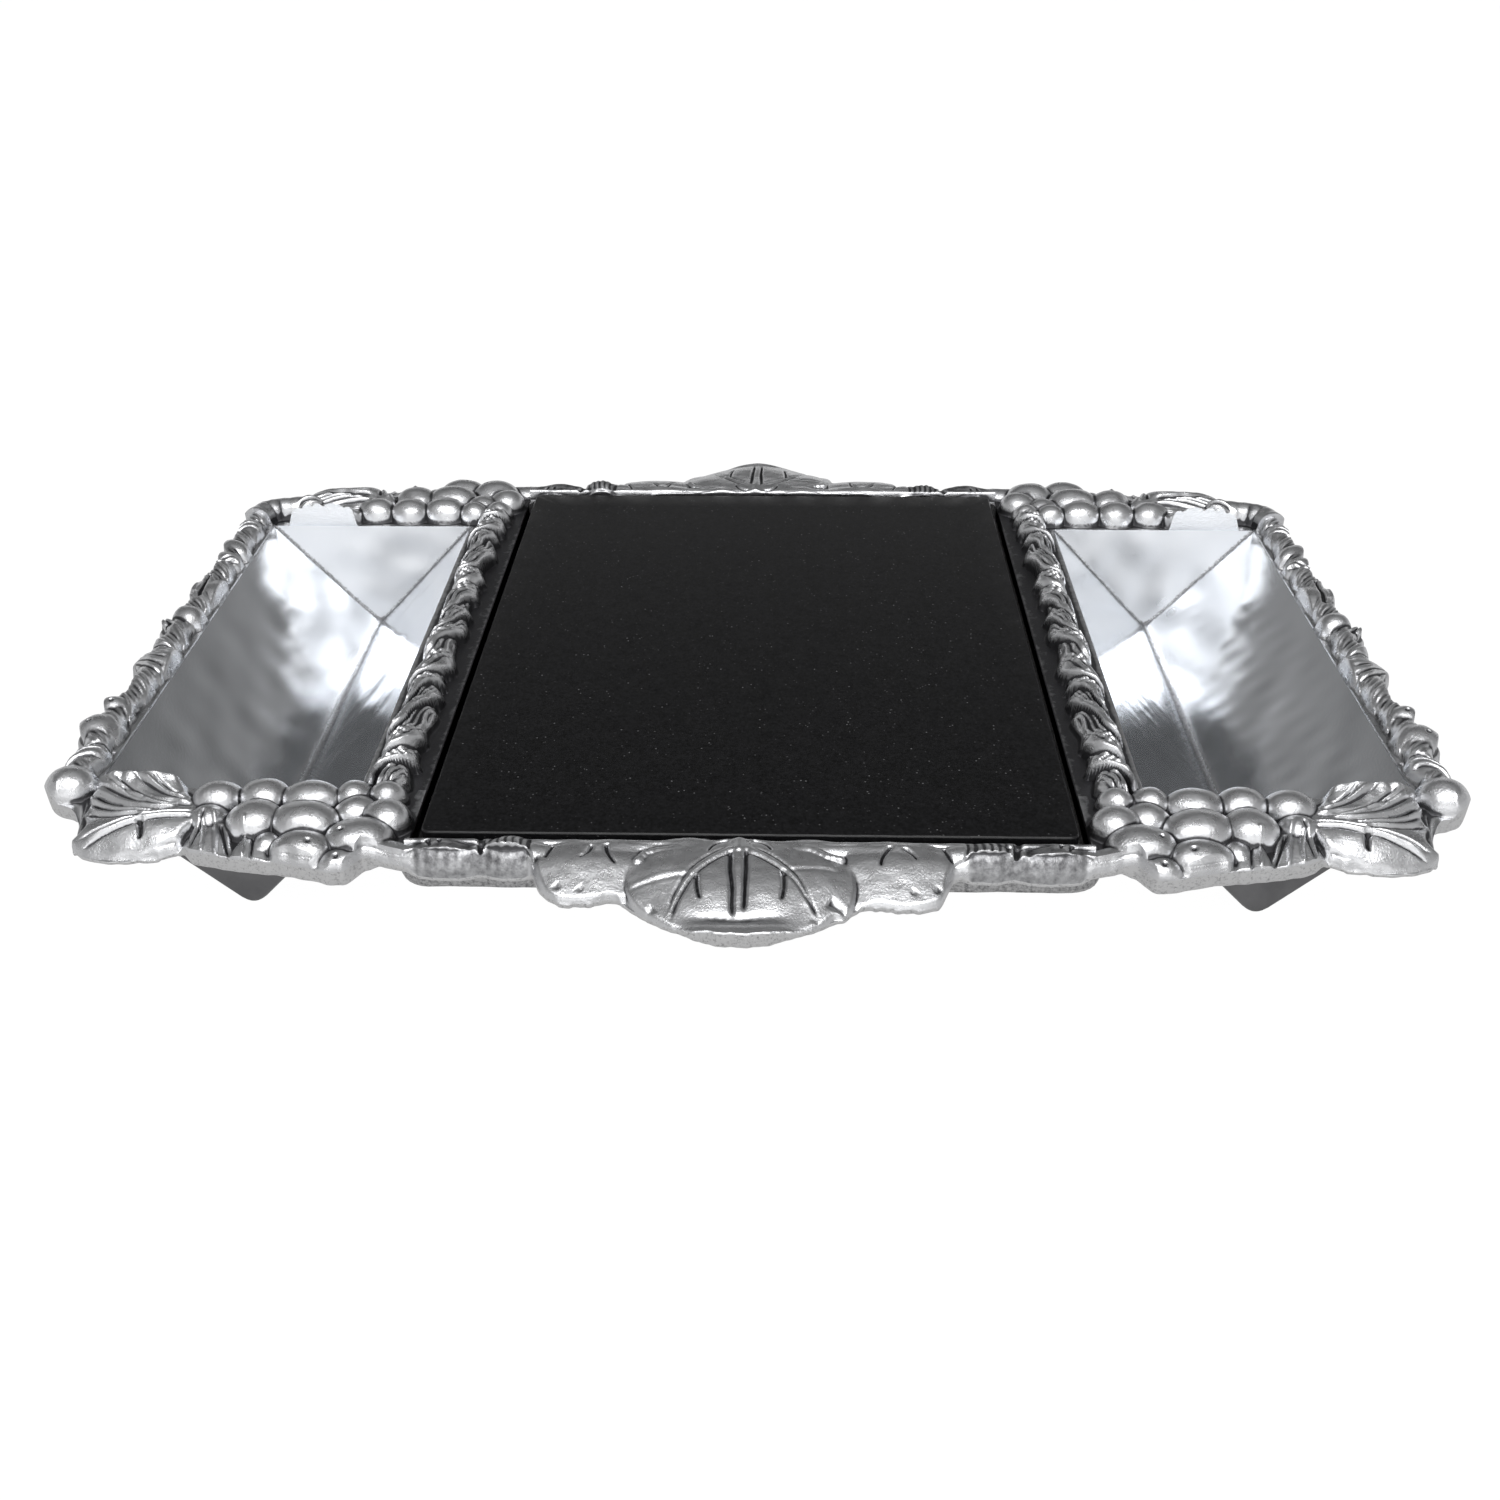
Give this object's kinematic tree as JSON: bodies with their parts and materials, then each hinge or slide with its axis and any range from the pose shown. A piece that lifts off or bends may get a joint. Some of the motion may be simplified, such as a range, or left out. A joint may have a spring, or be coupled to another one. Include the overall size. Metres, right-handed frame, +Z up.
{
  "type": "cheese and cracker tray",
  "caption": "Cast aluminium cheese and cracker tray with a grape-vine rim, leaf handles, a V-shaped trough down each side and a black stone slab that lifts out of the middle.",
  "frame": {"origin": "middle of the bounding box's bottom face, at the level of the keel flats that the tray stands on", "axes": "+X to the right along the tray's length, +Y to the back, +Z up; the front is towards -Y"},
  "size_m": [0.459, 0.3362, 0.0555],
  "materials": {
    "aluminium": "sand-cast, hand polished, darkened in the recesses",
    "stone": "honed black stone with fine pale specks",
    "rubber": "matt"
  },
  "bodies": {
    "tray": {"tray_casting": "aluminium"},
    "slab": {"stone_slab": "stone", "bumper_pad_front_left": "rubber", "bumper_pad_front_right": "rubber", "bumper_pad_back_left": "rubber", "bumper_pad_back_right": "rubber"}
  },
  "joints": [
    {"name": "slab_lift", "type": "slide", "parent": "tray", "child": "slab", "axis": [0, 0, 1], "range_m": [0, 0.06]}
  ]
}
